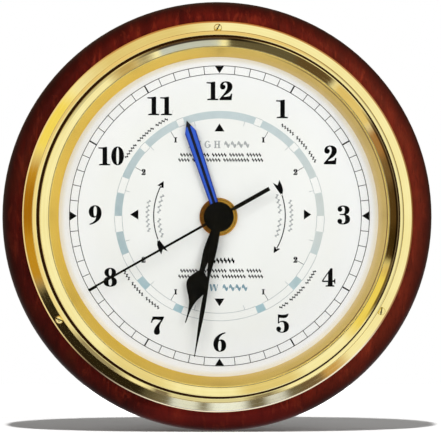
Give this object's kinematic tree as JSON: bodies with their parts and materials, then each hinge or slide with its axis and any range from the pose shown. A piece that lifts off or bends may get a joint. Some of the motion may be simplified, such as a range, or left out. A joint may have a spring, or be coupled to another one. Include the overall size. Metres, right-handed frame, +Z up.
{
  "type": "wall tide clock",
  "caption": "Round wall clock for time and tide: brass case with pull-off bezel on a wooden plaque, concentric hands and a geared quartz movement.",
  "frame": {"origin": "on the hands' common axis, in the plane of the plaque's back face, which is the wall", "axes": "-Y out of the wall towards the viewer, +X the viewer's right, +Z up"},
  "size_m": [0.2222, 0.0436, 0.2222],
  "materials": {
    "wood": "high gloss mahogany lacquer, dark red brown",
    "brass_polished": "polished and lacquered",
    "brass_satin": "fine satin, spun",
    "glass": "clear flat glass",
    "dial_white": "satin white enamel with black and grey print",
    "hand_blue": "satin blue",
    "hand_black": "semi gloss black",
    "steel": "plain",
    "zinc": "zinc plated",
    "plastic_black": "moulded",
    "plastic_white": "moulded acetal",
    "plastic_amber": "moulded",
    "rubber": "black",
    "copper": "enamelled copper wire",
    "magnet": "sintered ferrite",
    "board_green": "solder resist",
    "battery_jacket": "plain jacket"
  },
  "bodies": {
    "case": {"wood_base": "wood", "hanger_plate": "zinc", "hanger_screws": "steel", "case_shell": "brass_polished", "flange_screws": "brass_polished", "rehaut_ring": "brass_satin", "dial_plate": "dial_white", "dial_nut": "brass_polished", "dial_washer": "rubber", "threaded_bushing": "brass_polished", "movement_housing": "plastic_black", "rear_cover": "plastic_black", "cover_screws": "steel", "train_plate": "plastic_white", "battery": "battery_jacket", "contact_positive": "zinc", "contact_negative": "zinc", "stator": "steel", "coil_bobbin": "plastic_white", "coil_winding": "copper", "circuit_board": "board_green", "timing_chip": "plastic_black", "quartz_crystal": "steel"},
    "bezel": {"bezel_ring": "brass_polished", "glass": "glass", "glass_gasket": "rubber", "glass_retainer": "brass_polished"},
    "seconds": {"seconds_wheel": "plastic_amber", "second_hand": "hand_black"},
    "intermediate": {"intermediate_wheel": "plastic_amber"},
    "rotor": {"rotor": "magnet"},
    "third": {"third_wheel": "plastic_amber"},
    "centre": {"centre_wheel": "plastic_amber"},
    "minute": {"cannon_pinion": "plastic_white", "minute_hand": "hand_black"},
    "motion": {"motion_wheel": "plastic_white"},
    "hour": {"hour_wheel": "plastic_white", "hour_hand": "hand_black"},
    "idler": {"tide_idler": "plastic_white"},
    "tide_drive": {"tide_wheel": "plastic_white"},
    "tide_indicator": {"tide_hand": "hand_blue"},
    "knob": {"set_knob": "plastic_white"}
  },
  "joints": [
    {"name": "bezel_off", "type": "slide", "parent": "case", "child": "bezel", "axis": [0, -1, 0], "range_m": [0, 0.02]},
    {"name": "seconds_turn", "type": "hinge", "parent": "case", "child": "seconds", "pos_m": [0, -0.02, 0], "axis": [0, 1, 0], "continuous": true},
    {"name": "intermediate_turn", "type": "hinge", "parent": "case", "child": "intermediate", "pos_m": [0, -0.02, 0.0072], "axis": [0, 1, 0], "continuous": true},
    {"name": "rotor_turn", "type": "hinge", "parent": "case", "child": "rotor", "pos_m": [0.0035, -0.02, 0.01326], "axis": [0, 1, 0], "continuous": true},
    {"name": "third_turn", "type": "hinge", "parent": "case", "child": "third", "pos_m": [-0.00736, -0.02, 0.00425], "axis": [0, 1, 0], "continuous": true},
    {"name": "centre_turn", "type": "hinge", "parent": "case", "child": "centre", "pos_m": [0, -0.02, 0], "axis": [0, 1, 0], "continuous": true},
    {"name": "time_turn", "type": "hinge", "parent": "case", "child": "minute", "pos_m": [0, -0.02, 0], "axis": [0, 1, 0], "continuous": true},
    {"name": "motion_turn", "type": "hinge", "parent": "case", "child": "motion", "pos_m": [0, -0.02, -0.0096], "axis": [0, 1, 0], "continuous": true},
    {"name": "hour_turn", "type": "hinge", "parent": "case", "child": "hour", "pos_m": [0, -0.02, 0], "axis": [0, 1, 0], "continuous": true},
    {"name": "idler_turn", "type": "hinge", "parent": "case", "child": "idler", "pos_m": [0.01348, -0.02, 0], "axis": [0, 1, 0], "continuous": true},
    {"name": "tide_turn", "type": "hinge", "parent": "case", "child": "tide_drive", "pos_m": [0, -0.02, 0], "axis": [0, 1, 0], "continuous": true},
    {"name": "tide_set", "type": "hinge", "parent": "tide_drive", "child": "tide_indicator", "pos_m": [0, -0.02, 0], "axis": [0, 1, 0], "continuous": true},
    {"name": "knob_turn", "type": "hinge", "parent": "case", "child": "knob", "pos_m": [-0.0094, -0.02, -0.00618], "axis": [0, 1, 0], "continuous": true}
  ],
  "couplings": [
    {"joint": "intermediate_turn", "follows": "seconds_turn", "ratio": -5},
    {"joint": "rotor_turn", "follows": "seconds_turn", "ratio": 30},
    {"joint": "third_turn", "follows": "seconds_turn", "ratio": -0.13333},
    {"joint": "centre_turn", "follows": "seconds_turn", "ratio": 0.016667},
    {"joint": "motion_turn", "follows": "time_turn", "ratio": -0.33333},
    {"joint": "hour_turn", "follows": "time_turn", "ratio": 0.083333},
    {"joint": "idler_turn", "follows": "time_turn", "ratio": -0.2375},
    {"joint": "tide_turn", "follows": "time_turn", "ratio": 0.080508},
    {"joint": "knob_turn", "follows": "time_turn", "ratio": 0.85714}
  ]
}
